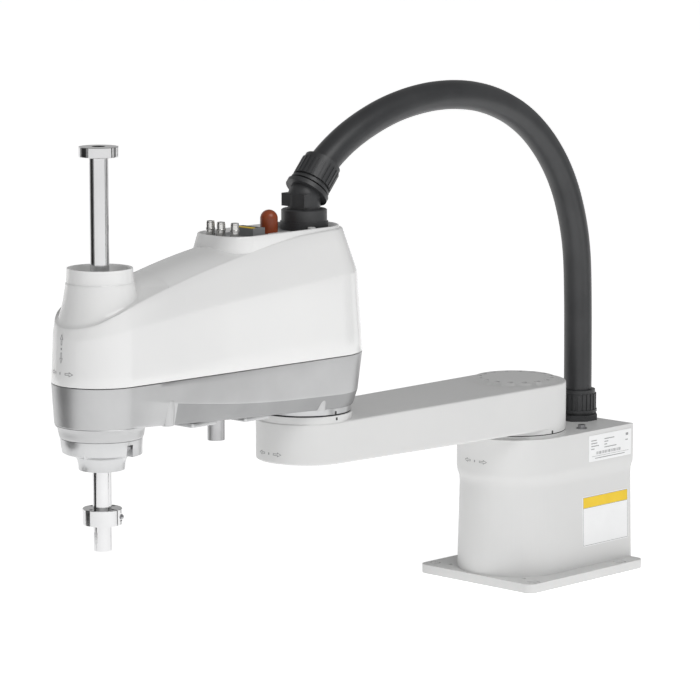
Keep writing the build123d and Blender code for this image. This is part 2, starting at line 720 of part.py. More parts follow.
# ---------------------------------------------------------------- quill
FLAT_LOW = 136.0
FLAT_HIGH = 147.0
with BuildPart() as quill_shaft:
    with BuildSketch(Plane.XY.offset(SHAFT_BOTTOM)):
        with Locations(J3):
            Circle(SHAFT_R)
    extrude(amount=SHAFT_TOP - SHAFT_BOTTOM)
    chamfer(quill_shaft.edges().group_by(Axis.Z)[0], length=0.8)
    # tool seat, turned down to 19 mm
    with BuildSketch(Plane.XY.offset(SHAFT_BOTTOM)):
        with Locations(J3):
            Circle(SHAFT_R + 1)
            Circle(TOOL_SEAT_R, mode=Mode.SUBTRACT)
    extrude(amount=CLAMP_BOTTOM - SHAFT_BOTTOM, mode=Mode.SUBTRACT)
    with BuildSketch(Plane.XY.offset(SHAFT_BOTTOM)):
        with Locations(J3):
            Circle(SHAFT_BORE)
    extrude(amount=SHAFT_TOP - SHAFT_BOTTOM, mode=Mode.SUBTRACT)
    # set screw flat near the tool end
    with Locations((J3[0] + SHAFT_R - 0.4, 0, (FLAT_LOW + FLAT_HIGH) / 2)):
        Box(0.8, 12, FLAT_HIGH - FLAT_LOW, mode=Mode.SUBTRACT)
pieces["quill_shaft"] = quill_shaft

STOP_FLANGE_BOTTOM = 538.0
with BuildPart() as stop_flange:
    with BuildSketch(Plane.XY.offset(STOP_FLANGE_BOTTOM)):
        with Locations(J3):
            Circle(STOP_FLANGE_R)
            Circle(SHAFT_R, mode=Mode.SUBTRACT)
    extrude(amount=SHAFT_TOP - STOP_FLANGE_BOTTOM)
    outer_edges = rim_edges(stop_flange, STOP_FLANGE_R)
    chamfer(outer_edges, length=0.5)
pieces["stop_flange"] = stop_flange

with BuildPart() as clamp_ring:
    with BuildSketch(Plane.XY.offset(CLAMP_BOTTOM)):
        with Locations(J3):
            Circle(CLAMP_R)
            Circle(SHAFT_R, mode=Mode.SUBTRACT)
    extrude(amount=CLAMP_TOP - CLAMP_BOTTOM)
    outer_edges = rim_edges(clamp_ring, CLAMP_R)
    chamfer(outer_edges, length=0.6)
    # tool holes through the ring
    with BuildSketch(Plane.XY.offset(CLAMP_BOTTOM)):
        with Locations(*circle_places(J3, TOOL_PCD / 2, 4, 0)):
            Circle(2.1)
    extrude(amount=CLAMP_TOP - CLAMP_BOTTOM, mode=Mode.SUBTRACT)
    # split, and the flat recess of the clamp screw
    with Locations((J3[0] - 2, 17, (CLAMP_BOTTOM + CLAMP_TOP) / 2)):
        Box(1.2, 16, 30, mode=Mode.SUBTRACT)
    with Locations((J3[0] - 12.5, 19.5, (CLAMP_BOTTOM + CLAMP_TOP) / 2)):
        Box(10, 9, 9, mode=Mode.SUBTRACT)
pieces["clamp_ring"] = clamp_ring

with BuildPart() as clamp_ring_screw:
    screw_plane = Plane(
        origin=(J3[0] - 7.5, 17.8, (CLAMP_BOTTOM + CLAMP_TOP) / 2), x_dir=(0, 1, 0), z_dir=(-1, 0, 0))
    with BuildSketch(screw_plane):
        Circle(2.6)
    extrude(amount=4)
    with BuildSketch(screw_plane.offset(4)):
        RegularPolygon(1.4, 6)
    extrude(amount=-2, mode=Mode.SUBTRACT)
pieces["clamp_ring_screw"] = clamp_ring_screw

# ---------------------------------------------------------------- second arm cover
# Half sections of the cover, rear to front: half width at the seam, the crease where the
# wall starts to lean in, the ridge, and the edge of the flat top.
cover_stations = [
    (350.0, (63.4, SEAM_Z), (57.7, 393.0), (41.5, 440.0), (38.0, DECK_RIM)),
    (400.0, (61.4, SEAM_Z), (56.8, 389.0), (40.0, 437.0), (36.0, 441.0)),
    (450.0, (59.4, SEAM_Z), (55.4, 385.0), (38.8, 430.0), (32.0, 438.0)),
    (500.0, (57.4, SEAM_Z), (54.0, 381.0), (38.0, 420.0), (26.0, 431.0)),
    (550.0, (55.4, SEAM_Z), (52.4, 375.5), (37.8, 410.0), (24.0, 422.0)),
    (600.0, (53.4, SEAM_Z), (50.8, 369.0), (38.0, 395.0), (22.0, 408.0)),
    (650.0, (51.4, SEAM_Z), (48.7, 361.0), (42.0, 378.0), (20.0, 386.0)),
]


def station_points(station, inset):
    """A closed section of the cover, moved inwards by a wall thickness."""
    half = []
    for number, (y, z) in enumerate(station[1:]):
        lift = inset if number >= 2 else 0
        half.append((y - inset, z - lift))
    return half + [(-y, z) for y, z in reversed(half)]


def cover_body(inset):
    """The cover's outer shape, or the hollow inside it when inset is its wall."""
    with BuildPart() as body:
        for station in cover_stations:
            with BuildSketch(Plane.YZ.offset(station[0])):
                with BuildLine():
                    Polyline(*station_points(station, inset), close=True)
                make_face()
        loft(ruled=True)
        for centre, station in ((J2, cover_stations[0]), (J3, cover_stations[-1])):
            points = station_points(station, inset)[:4]
            half = [(0, points[0][1])] + points + [(0, points[3][1])]
            flat = Plane(origin=(centre[0], 0, 0), x_dir=(1, 0, 0), z_dir=(0, -1, 0))
            with BuildSketch(flat):
                with BuildLine():
                    Polyline(*half, close=True)
                make_face()
            revolve(axis=Axis((centre[0], 0, 0), (0, 0, 1)))
    return body


outer_body = cover_body(0)
inner_body = cover_body(COVER_WALL)
BUTTON_AT = (366.5, 27.6)       # brake release button
NOSE_X = 462.0
NOSE_Y = 10.0
NOSE_R = 28.0
NOSE_FOOT_R = 36.0
with BuildPart() as arm2_cover:
    add(outer_body.part)
    # collar round the quill
    with BuildSketch(Plane(origin=(J3[0], 0, 0), x_dir=(1, 0, 0), z_dir=(0, -1, 0))):
        with BuildLine():
            Polyline((0, 372), (45.5, 372), (41.3, 380), (39.1, 390), (37.2, 400), (35.8, 411),
                     (34.9, 418), (COLLAR_R, COLLAR_TOP), (0, COLLAR_TOP), close=True)
        make_face()
    revolve(axis=Axis((J3[0], 0, 0), (0, 0, 1)))
    # raised rim of the connector deck, with a blunt nose
    with BuildSketch(Plane.XY.offset(424)):
        with Locations(J2):
            Circle(38)
        with Locations((NOSE_X, NOSE_Y), (NOSE_X, -NOSE_Y)):
            Circle(NOSE_FOOT_R)
        make_hull()
    with BuildSketch(Plane.XY.offset(DECK_RIM)):
        with Locations(J2):
            Circle(37.5)
        with Locations((NOSE_X, NOSE_Y), (NOSE_X, -NOSE_Y)):
            Circle(NOSE_R)
        make_hull()
    loft(ruled=True)
    add(inner_body.part, mode=Mode.SUBTRACT)
    # deck opening
    with BuildSketch(Plane.XY.offset(DECK_RIM)):
        with Locations(J2):
            Circle(35)
        with Locations((NOSE_X, NOSE_Y), (NOSE_X, -NOSE_Y)):
            Circle(NOSE_R - 2.5)
        make_hull()
    extrude(amount=DECK_FLOOR - DECK_RIM - 40, mode=Mode.SUBTRACT)
    # open collar
    with BuildSketch(Plane.XY.offset(COLLAR_TOP)):
        with Locations(J3):
            Circle(31)
    extrude(amount=-60, mode=Mode.SUBTRACT)
pieces["arm2_cover"] = arm2_cover

with BuildPart() as connector_deck:
    with BuildSketch(Plane.XY.offset(DECK_FLOOR)):
        with Locations(J2):
            Circle(34.8)
        with Locations((NOSE_X, NOSE_Y), (NOSE_X, -NOSE_Y)):
            Circle(NOSE_R - 2.7)
        make_hull()
        with Locations(J2):
            Circle(14, mode=Mode.SUBTRACT)
    extrude(amount=-3)
    with BuildSketch(Plane.XY.offset(DECK_FLOOR)):
        with Locations(BUTTON_AT):
            Circle(4.8)
    extrude(amount=-3, mode=Mode.SUBTRACT)
pieces["connector_deck"] = connector_deck

# ribbed guide bush inside the open collar
with BuildPart() as collar_bush:
    with BuildSketch(Plane.XY.offset(404)):
        with Locations(J3):
            Circle(30.8)
            Circle(12.5, mode=Mode.SUBTRACT)
    extrude(amount=4)
    with BuildSketch(Plane.XY.offset(408)):
        with Locations(J3):
            Circle(16)
            Circle(12.5, mode=Mode.SUBTRACT)
            with PolarLocations(23, 8):
                Rectangle(15.4, 2)
    extrude(amount=8)
pieces["collar_bush"] = collar_bush

# ---------------------------------------------------------------- swivel elbow of the conduit
SWIVEL_FOOT = DECK_FLOOR
ELBOW_Z = 474.0
LEAN = math.radians(49.5)       # the elbow's upper leg above the horizontal
NUT_AXIS = Vector(-math.cos(LEAN), 0, math.sin(LEAN))
elbow_point = Vector(J2[0], 0, ELBOW_Z)


def along_nut(distance):
    """A plane across the elbow's leaning leg, so far from the bend."""
    return Plane(origin=elbow_point + NUT_AXIS * distance, x_dir=(0, 1, 0), z_dir=NUT_AXIS)


pieces["swivel_flange"] = turned(J2, [
    (13.5, SWIVEL_FOOT), (26.3, SWIVEL_FOOT), (26.3, 447), (25, 447), (25, 459.5), (23.5, 460.5),
    (18.4, 460.5), (18.4, 445), (13.5, 445),
])
with BuildPart() as swivel_elbow:
    with BuildSketch(Plane.XY.offset(446)):
        with Locations(J2):
            Circle(17.8)
    extrude(amount=ELBOW_Z - 446)
    with Locations((J2[0], 0, ELBOW_Z)):
        Sphere(17.8)
    with BuildSketch(along_nut(0)):
        Circle(17.8)
    extrude(amount=12)
    with BuildSketch(along_nut(4.8)):
        Circle(24.6)
    extrude(amount=4.8)
    with BuildSketch(along_nut(9.6)):
        Circle(20)
    extrude(amount=8)
    with BuildSketch(along_nut(12)):
        Circle(22.8)
    extrude(amount=2.8)
    # square grip block at the back of the elbow
    with Locations((J2[0] + 11.4, 0, 470.7)):
        Box(12, 34.8, 14)
pieces["swivel_elbow"] = swivel_elbow
pieces["swivel_nut"] = ribbed_nut(along_nut(18.0), 22.4, 27.0, DUCT_D / 2 + 0.05)

# ---------------------------------------------------------------- deck fittings
LAMP_AT = (404.0, 0.0)
with BuildPart() as status_lamp:
    with BuildSketch(Plane.XY.offset(DECK_FLOOR)):
        with Locations(LAMP_AT):
            Circle(9.6)
    extrude(amount=15.5)
    with Locations((LAMP_AT[0], LAMP_AT[1], DECK_FLOOR + 15.5)):
        Sphere(9.6)
pieces["status_lamp"] = status_lamp

AIR_FITTINGS = [(473.0, -19.0), (474.0, -2.0), (471.0, 16.0)]
with BuildPart() as deck_air_fittings:
    with BuildSketch(Plane.XY.offset(DECK_FLOOR)):
        with Locations(*AIR_FITTINGS):
            RegularPolygon(5.4, 6)
            Circle(2.0, mode=Mode.SUBTRACT)
    extrude(amount=4)
    with BuildSketch(Plane.XY.offset(DECK_FLOOR + 4)):
        with Locations(*AIR_FITTINGS):
            Circle(4.6)
            Circle(2.0, mode=Mode.SUBTRACT)
    extrude(amount=11.5)
pieces["deck_air_fittings"] = deck_air_fittings

with BuildPart() as deck_connector:
    with Locations((436, 0, DECK_FLOOR + 4.5)):
        Box(18, 34, 9)
    with Locations((436, 0, DECK_FLOOR + 8)):
        Box(11, 27, 4, mode=Mode.SUBTRACT)
pieces["deck_connector"] = deck_connector

with BuildPart() as brake_button:
    with BuildSketch(Plane.XY.offset(DECK_FLOOR - 3)):
        with Locations(BUTTON_AT):
            Circle(4.3)
    extrude(amount=8)
    fillet(brake_button.edges().group_by(Axis.Z)[-1], radius=0.8)
pieces["brake_button"] = brake_button

# ---------------------------------------------------------------- write the parts
os.makedirs("parts", exist_ok=True)
for piece_name, piece in pieces.items():
    piece.part.label = piece_name
    export_step(piece.part, f"parts/{piece_name}.step")
print(len(pieces), "pieces")
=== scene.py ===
import json
import math

import bmesh
import bpy
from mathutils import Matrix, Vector

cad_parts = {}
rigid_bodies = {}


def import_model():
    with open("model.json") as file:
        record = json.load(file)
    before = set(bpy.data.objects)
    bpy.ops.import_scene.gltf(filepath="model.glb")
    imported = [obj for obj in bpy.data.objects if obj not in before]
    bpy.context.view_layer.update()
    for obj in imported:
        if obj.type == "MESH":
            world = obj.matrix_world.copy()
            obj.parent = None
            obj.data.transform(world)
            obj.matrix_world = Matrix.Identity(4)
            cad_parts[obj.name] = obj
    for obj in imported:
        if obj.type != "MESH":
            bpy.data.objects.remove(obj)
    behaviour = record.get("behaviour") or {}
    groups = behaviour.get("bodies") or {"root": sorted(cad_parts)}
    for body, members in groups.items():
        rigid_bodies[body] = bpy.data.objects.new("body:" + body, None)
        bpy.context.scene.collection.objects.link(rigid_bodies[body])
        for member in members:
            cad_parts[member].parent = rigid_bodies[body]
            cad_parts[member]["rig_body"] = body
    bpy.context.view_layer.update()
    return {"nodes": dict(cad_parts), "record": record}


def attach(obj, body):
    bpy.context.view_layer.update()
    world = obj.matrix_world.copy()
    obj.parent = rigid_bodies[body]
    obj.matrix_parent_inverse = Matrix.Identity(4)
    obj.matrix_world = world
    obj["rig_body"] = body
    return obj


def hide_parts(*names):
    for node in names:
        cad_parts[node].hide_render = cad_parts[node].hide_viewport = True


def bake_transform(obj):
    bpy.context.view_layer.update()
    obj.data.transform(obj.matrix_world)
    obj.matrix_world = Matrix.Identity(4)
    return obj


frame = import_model()
nodes = frame["nodes"]

# ------------------------------------------------------------------ axes along X, millimetres
ELBOW_X = 350
QUILL_X = 650


# ------------------------------------------------------------------ materials
def material(name, color, rough, metal=0.0, coat=0.0):
    m = bpy.data.materials.new(name)
    m.use_nodes = True
    b = m.node_tree.nodes["Principled BSDF"]
    b.inputs["Base Color"].default_value = (*color, 1)
    b.inputs["Roughness"].default_value = rough
    b.inputs["Metallic"].default_value = metal
    b.inputs["Coat Weight"].default_value = coat
    b.inputs["Coat Roughness"].default_value = 0.05
    return m


def add_node(m, kind, **sockets):
    n = m.node_tree.nodes.new(kind)
    for key, value in sockets.items():
        n.inputs[key.replace("_", " ")].default_value = value
    return n


def link(m, a, b):
    m.node_tree.links.new(a, b)


def mottle(m, scale, low, high, detail=4.0):
    """Colour that drifts between two close shades."""
    b = m.node_tree.nodes["Principled BSDF"]
    where = m.node_tree.nodes.new("ShaderNodeTexCoord")
    noise = add_node(m, "ShaderNodeTexNoise", Scale=scale, Detail=detail)
    link(m, where.outputs["Object"], noise.inputs["Vector"])
    ramp = m.node_tree.nodes.new("ShaderNodeValToRGB")
    ramp.color_ramp.elements[0].position = 0.3
    ramp.color_ramp.elements[1].position = 0.7
    ramp.color_ramp.elements[0].color = (*low, 1)
    ramp.color_ramp.elements[1].color = (*high, 1)
    link(m, noise.outputs["Fac"], ramp.inputs["Fac"])
    link(m, ramp.outputs["Color"], b.inputs["Base Color"])
    return noise


def grain(m, scale, strength, distance=0.0002, stretch=None):
    """Fine surface relief; stretch lengthens it along an axis for brushed metal."""
    b = m.node_tree.nodes["Principled BSDF"]
    where = m.node_tree.nodes.new("ShaderNodeTexCoord")
    noise = add_node(m, "ShaderNodeTexNoise", Scale=scale, Detail=3.0)
    if stretch:
        mapping = m.node_tree.nodes.new("ShaderNodeMapping")
        mapping.inputs["Scale"].default_value = stretch
        link(m, where.outputs["Object"], mapping.inputs["Vector"])
        link(m, mapping.outputs["Vector"], noise.inputs["Vector"])
    else:
        link(m, where.outputs["Object"], noise.inputs["Vector"])
    bump = add_node(m, "ShaderNodeBump", Strength=strength, Distance=distance)
    link(m, noise.outputs["Fac"], bump.inputs["Height"])
    link(m, bump.outputs["Normal"], b.inputs["Normal"])


def rough_drift(m, scale, low, high):
    """Roughness that drifts, as handling and casting leave it."""
    b = m.node_tree.nodes["Principled BSDF"]
    where = m.node_tree.nodes.new("ShaderNodeTexCoord")
    noise = add_node(m, "ShaderNodeTexNoise", Scale=scale, Detail=2.0)
    link(m, where.outputs["Object"], noise.inputs["Vector"])
    span = m.node_tree.nodes.new("ShaderNodeMapRange")
    span.inputs["To Min"].default_value = low
    span.inputs["To Max"].default_value = high
    link(m, noise.outputs["Fac"], span.inputs["Value"])
    link(m, span.outputs["Result"], b.inputs["Roughness"])


paint = material("paint_satin_white", (0.78, 0.78, 0.775), 0.42)
mottle(paint, 14, (0.695, 0.696, 0.692), (0.715, 0.715, 0.71))
grain(paint, 900, 0.12)
rough_drift(paint, 40, 0.38, 0.46)

cover_white = material("cover_gloss_white", (0.86, 0.86, 0.855), 0.2, coat=0.35)
mottle(cover_white, 9, (0.795, 0.796, 0.795), (0.82, 0.82, 0.815))
rough_drift(cover_white, 30, 0.18, 0.24)
grain(cover_white, 500, 0.03)

silver = material("casting_silver", (0.52, 0.52, 0.52), 0.28, metal=0.85)
mottle(silver, 30, (0.50, 0.502, 0.505), (0.54, 0.542, 0.545))
grain(silver, 350, 0.02)
rough_drift(silver, 60, 0.32, 0.4)

# darker, rougher copy of the casting silver: painted shade for the lower flank under the crease, which faces
# downward
silver_painted_shade = material("casting_painted_shade", (0.33, 0.33, 0.33), 0.42, metal=0.8)
mottle(silver_painted_shade, 30, (0.31, 0.312, 0.315), (0.35, 0.352, 0.355))
grain(silver_painted_shade, 350, 0.03)
rough_drift(silver_painted_shade, 60, 0.36, 0.48)

light_metal = material("metal_machined", (0.72, 0.73, 0.74), 0.28, metal=0.85)
mottle(light_metal, 40, (0.56, 0.565, 0.57), (0.61, 0.613, 0.617))
grain(light_metal, 300, 0.1, stretch=(1, 1, 14))

chrome = material("chrome_hard", (0.80, 0.80, 0.805), 0.1, metal=1.0)
mottle(chrome, 20, (0.66, 0.66, 0.665), (0.71, 0.71, 0.715))
grain(chrome, 260, 0.05, distance=0.0001, stretch=(1, 1, 20))
rough_drift(chrome, 50, 0.08, 0.14)

steel = material("steel_ground", (0.5, 0.5, 0.505), 0.32, metal=0.9)
mottle(steel, 60, (0.47, 0.47, 0.475), (0.55, 0.55, 0.555))
grain(steel, 400, 0.1, stretch=(1, 1, 12))

screw_steel = material("screw_zinc", (0.35, 0.35, 0.36), 0.35, metal=0.85)
mottle(screw_steel, 200, (0.30, 0.30, 0.31), (0.42, 0.42, 0.43))
grain(screw_steel, 1200, 0.1)

motor_black = material("anodised_black", (0.03, 0.03, 0.032), 0.4, metal=0.3)
mottle(motor_black, 40, (0.026, 0.026, 0.028), (0.04, 0.04, 0.042))
grain(motor_black, 800, 0.15)

dark = material("plastic_dark", (0.038, 0.039, 0.041), 0.42)
mottle(dark, 60, (0.034, 0.035, 0.037), (0.046, 0.047, 0.049))
grain(dark, 1300, 0.25)
rough_drift(dark, 90, 0.36, 0.5)

hose = material("hose_dark", (0.034, 0.035, 0.037), 0.4)
mottle(hose, 25, (0.030, 0.031, 0.033), (0.042, 0.043, 0.045))
grain(hose, 700, 0.2)
rough_drift(hose, 30, 0.34, 0.46)

deck_grey = material("plastic_grey", (0.22, 0.225, 0.23), 0.45)
mottle(deck_grey, 50, (0.2, 0.205, 0.21), (0.25, 0.255, 0.26))
grain(deck_grey, 900, 0.2)

rubber = material("rubber_black", (0.015, 0.015, 0.016), 0.6)
mottle(rubber, 80, (0.012, 0.012, 0.013), (0.022, 0.022, 0.023))
grain(rubber, 1000, 0.2)

nickel = material("nickel_plate", (0.66, 0.655, 0.64), 0.2, metal=1.0)
mottle(nickel, 90, (0.62, 0.615, 0.60), (0.71, 0.705, 0.69))
grain(nickel, 700, 0.08)

lamp_red = material("lamp_terracotta", (0.30, 0.06, 0.018), 0.3)
mottle(lamp_red, 60, (0.27, 0.052, 0.015), (0.34, 0.07, 0.022))
grain(lamp_red, 500, 0.05)
lamp_red.node_tree.nodes["Principled BSDF"].inputs["Subsurface Weight"].default_value = 0.15
lamp_red.node_tree.nodes["Principled BSDF"].inputs["Subsurface Radius"].default_value = (0.004, 0.001, 0.0005)

label = material("label_film", (0.80, 0.81, 0.82), 0.3)
mottle(label, 40, (0.87, 0.875, 0.88), (0.9, 0.905, 0.91))
grain(label, 600, 0.04)

ink = material("ink_black", (0.02, 0.02, 0.02), 0.5)
mottle(ink, 200, (0.016, 0.016, 0.016), (0.03, 0.03, 0.03))
grey_ink = material("ink_grey", (0.30, 0.30, 0.305), 0.5)
mottle(grey_ink, 200, (0.28, 0.28, 0.285), (0.33, 0.33, 0.335))
yellow_ink = material("ink_yellow", (0.78, 0.50, 0.02), 0.4)
mottle(yellow_ink, 60, (0.86, 0.58, 0.01), (0.91, 0.63, 0.02))

floor_mat = material("floor_pale", (0.9, 0.9, 0.9), 0.6)
mottle(floor_mat, 3, (0.89, 0.89, 0.89), (0.91, 0.91, 0.91))
floor_mat.node_tree.nodes["Principled BSDF"].inputs["Emission Color"].default_value = (1, 1, 1, 1)
floor_mat.node_tree.nodes["Principled BSDF"].inputs["Emission Strength"].default_value = 0.74

BY_SLOT = {
    "white_paint": paint, "white_cover": cover_white, "cast_silver": silver, "light_metal": light_metal,
    "hard_chrome": chrome, "steel": steel, "screws": screw_steel, "motor_black": motor_black,
    "dark_plastic": dark, "deck_grey": deck_grey, "black_rubber": rubber, "nickel": nickel,
    "lamp_red": lamp_red, "label": label, "button_white": paint,
}
for part in frame["record"]["subparts"]:
    o = nodes[part["node"]]
    o.data.materials.clear()
    o.data.materials.append(BY_SLOT[part["material_slot"]])
nodes["cable_duct"].data.materials[0] = hose


# ------------------------------------------------------------------ mesh helpers
def obj_from(name, verts, faces, mat, smooth=True, weld=0.00002):
    """A mesh piece from vertices and faces in metres."""
    mesh = bpy.data.meshes.new(name)
    mesh.from_pydata(verts, [], faces)
    bm = bmesh.new()
    bm.from_mesh(mesh)
    bmesh.ops.remove_doubles(bm, verts=bm.verts, dist=weld)
    bmesh.ops.recalc_face_normals(bm, faces=bm.faces)
    bm.to_mesh(mesh)
    bm.free()
    mesh.materials.append(mat)
    for p in mesh.polygons:
        p.use_smooth = smooth
    o = bpy.data.objects.new(name, mesh)
    bpy.context.scene.collection.objects.link(o)
    return o


def apply_modifiers(o):
    got = o.evaluated_get(bpy.context.evaluated_depsgraph_get())
    mesh = bpy.data.meshes.new_from_object(got)
    o.modifiers.clear()
    o.data = mesh


def bevel(o, width):
    m = o.modifiers.new("bevel", "BEVEL")
    m.width = width
    m.segments = 3
    m.limit_method = "ANGLE"
    m.angle_limit = math.radians(28)
    m.harden_normals = False
    m.use_clamp_overlap = True
    bpy.context.view_layer.update()
    apply_modifiers(o)


def mark_sharp(o, angle):
    """Marks edges sharper than the angle, so that smooth shading stops there."""
    bm = bmesh.new()
    bm.from_mesh(o.data)
    limit = math.radians(angle)
    for e in bm.edges:
        e.smooth = not (len(e.link_faces) == 2 and e.calc_face_angle(0) > limit)
    for f in bm.faces:
        f.smooth = True
    bm.to_mesh(o.data)
    bm.free()


def softened(node, width):
    """The CAD node's shape with rounded edges, standing in for it."""
    source = nodes[node]
    mesh = source.data.copy()
    o = bpy.data.objects.new(node + "_rounded", mesh)
    bpy.context.scene.collection.objects.link(o)
    bm = bmesh.new()
    bm.from_mesh(mesh)
    bmesh.ops.remove_doubles(bm, verts=bm.verts, dist=0.00001)
    bmesh.ops.dissolve_limit(bm, angle_limit=math.radians(0.8), verts=bm.verts, edges=bm.edges)
    bm.to_mesh(mesh)
    bm.free()
    if mesh.has_custom_normals:
        with bpy.context.temp_override(object=o, active_object=o):
            bpy.ops.mesh.customdata_custom_splitnormals_clear()
    bevel(o, width)
    mark_sharp(o, 40)
    even = o.modifiers.new("even", "WEIGHTED_NORMAL")
    even.keep_sharp = True
    even.weight = 100
    bpy.context.view_layer.update()
    apply_modifiers(o)
    slot_name = [p["material_slot"] for p in frame["record"]["subparts"] if p["node"] == node][0]
    o.data.materials.clear()
    o.data.materials.append(BY_SLOT[slot_name])
    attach(o, source["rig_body"])
    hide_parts(node)


def lathe(name, centre, outline, mat, steps=96):
    """A turned piece from (radius, height) points about a vertical axis, in metres."""
    verts, faces = [], []
    count = len(outline)
    for k in range(steps):
        a = 2 * math.pi * k / steps
        for r, z in outline:
            verts.append((centre[0] + r * math.cos(a), centre[1] + r * math.sin(a), z))
    for k in range(steps):
        n = (k + 1) % steps
        for i in range(count):
            j = (i + 1) % count
            faces.append((k * count + i, n * count + i, n * count + j, k * count + j))
    return obj_from(name, verts, faces, mat)


def hull_outline(circles, count=180):
    """Points round the outline that wraps several circles, given as (x, y, radius)."""
    points = []
    for k in range(count):
        a = 2 * math.pi * k / count
        n = (math.cos(a), math.sin(a))
        x, y, r = max(circles, key=lambda c: c[0] * n[0] + c[1] * n[1] + c[2])
        points.append((x + r * n[0], y + r * n[1]))
    return points


def lofted(name, rings, mat, cap_first=False, cap_last=False):
    """Skin over equal-length closed rings of points."""
    verts = [p for ring in rings for p in ring]
    n = len(rings[0])
    faces = []
    for k in range(len(rings) - 1):
        for i in range(n):
            j = (i + 1) % n
            faces.append((k * n + i, k * n + j, (k + 1) * n + j, (k + 1) * n + i))
    if cap_first:
        faces.append(tuple(range(n))[::-1])
    if cap_last:
        faces.append(tuple(range((len(rings) - 1) * n, len(rings) * n)))
    return obj_from(name, verts, faces, mat)


def catmull(table, x):
    """Smooth values between stations: rows of (x, value, value, ...)."""
    k = 0
    while k < len(table) - 2 and table[k + 1][0] < x:
        k += 1
    a, b = table[k], table[k + 1]
    before = table[k - 1] if k > 0 else a
    after = table[k + 2] if k + 2 < len(table) else b
    t = (x - a[0]) / (b[0] - a[0])
    out = []
    for i in range(1, len(a)):
        m0 = (b[i] - before[i]) / (b[0] - before[0]) * (b[0] - a[0])
        m1 = (after[i] - a[i]) / (after[0] - a[0]) * (b[0] - a[0])
        h = ((2 * t**3 - 3 * t**2 + 1) * a[i] + (t**3 - 2 * t**2 + t) * m0
             + (-2 * t**3 + 3 * t**2) * b[i] + (t**3 - t**2) * m1)
        out.append(h)
    return out


# ------------------------------------------------------------------ the second arm's cover, in mm
SEAM = 305.0
# x, half width at the seam, crease (half width, height), ridge (half width, height), crown above the ridge
STATIONS = [
    (350, 63.4, 57.7, 393.0, 41.5, 440.0, 3.0),
    (400, 61.4, 56.8, 389.0, 40.0, 437.0, 4.5),
    (450, 59.4, 55.6, 385.0, 38.8, 430.0, 7.0),
    (500, 57.4, 54.4, 381.0, 38.2, 420.5, 10.5),
    (550, 55.4, 53.0, 375.8, 38.0, 410.0, 12.0),
    (600, 53.4, 51.3, 370.0, 39.2, 398.0, 11.0),
    (625, 52.4, 50.3, 367.2, 42.6, 392.4, 6.0),
    (650, 51.4, 49.3, 364.4, 46.3, 386.5, 0.0),
]
# angle from straight ahead at the quill: crease (radius, height), ridge (radius, height)
NOSE_TURN = [
    (-1, 48.9, 354.0, 46.9, 365.5),
    (0, 48.9, 354.0, 46.9, 365.5),
    (18, 48.9, 354.5, 46.9, 366.6),
    (41, 49.0, 357.0, 46.8, 370.6),
    (60, 49.1, 360.0, 46.6, 376.8),
    (90, 49.3, 364.4, 46.3, 386.5),
    (91, 49.3, 364.4, 46.3, 386.5),
]
# the collar's outside: radius and height
COLLAR = [
    (34.3, 423.6), (34.9, 409.2), (35.7, 408.2), (36.2, 404.5), (37.2, 398.0), (38.3, 391.5), (39.6, 385.0),
    (41.3, 378.5), (43.4, 372.0), (46.2, 365.0), (50.0, 357.0), (70.0, 320.0),
]


def ridge_height(angle):
    return catmull(NOSE_TURN, min(abs(angle), 90.0))[3]


def in_deck(x, y):
    """Whether a point lies inside the deck's opening."""
    if x < ELBOW_X:
        return math.hypot(x - ELBOW_X, y) < 35.6
    if x < 462:
        return abs(y) < 35.6
    return math.hypot(x - 462, max(abs(y) - 10, 0)) < 26


def top_height(x, y):
    """The top between the ridges, before the collar rises out of it."""
    if x > QUILL_X:
        return ridge_height(math.degrees(math.atan2(y, x - QUILL_X)))
    ridge_w, ridge_z, crown = catmull(STATIONS, max(x, ELBOW_X))[3:]
    share = min(1.0, abs(y) / (ridge_w - 1.3))
    height = ridge_z + crown * (1 - share**2.2)
    return min(height, 428.0) if in_deck(x, y) else height


def collar_height(r):
    for (r0, z0), (r1, z1) in zip(COLLAR, COLLAR[1:]):
        if r <= r1:
            return z0 + (z1 - z0) * (r - r0) / (r1 - r0)
    return 300.0


def smooth_max(a, b, k):
    h = max(k - abs(a - b), 0.0) / k
    return max(a, b) + h * h * k * 0.25


def flank_profile(seam_w, crease_w, crease_z, ridge_w, ridge_z):
    """From the seam up to the ridge, with its two edges rounded."""
    up = (crease_w - seam_w) / (crease_z - SEAM)
    lean = (ridge_w - crease_w) / (ridge_z - crease_z)
    points = [(seam_w - 1.2, SEAM + 0.25), (seam_w - 0.25, SEAM + 0.35), (seam_w, SEAM + 0.9)]
    for t in (0.25, 0.5, 0.75):
        points.append((seam_w + (crease_w - seam_w) * t, SEAM + (crease_z - SEAM) * t))
    round_b = min(2.0, (ridge_z - crease_z) * 0.25)
    points.append((crease_w - up * round_b, crease_z - round_b))
    points.append((crease_w + (lean - up) * round_b * 0.25, crease_z))
    points.append((crease_w + lean * round_b, crease_z + round_b))
    for t in (0.3, 0.5, 0.7):
        points.append((crease_w + (ridge_w - crease_w) * t, crease_z + (ridge_z - crease_z) * t))
    length = math.hypot(ridge_w - crease_w, ridge_z - crease_z)
    t = 1 - 1.3 / length
    points.append((crease_w + (ridge_w - crease_w) * t, crease_z + (ridge_z - crease_z) * t))
    points.append((ridge_w - 0.25, ridge_z - 0.35))
    points.append((ridge_w - 1.3, ridge_z + 0.05))
    return points


rows = []
for k in range(0, 31):
    angle = math.radians(180 - 3 * k)
    station = catmull(STATIONS, ELBOW_X)
    rows.append((ELBOW_X, angle, flank_profile(*station[:5])))
for k in range(1, 120):
    x = ELBOW_X + 2.5 * k
    station = catmull(STATIONS, x)
    rows.append((x, math.pi / 2, flank_profile(*station[:5])))
for k in range(0, 31):
    angle = 90 - 3 * k
    turn = catmull(NOSE_TURN, angle)
    rows.append((QUILL_X, math.radians(angle), flank_profile(51.4, *turn)))
cover_verts, cover_faces = [], []


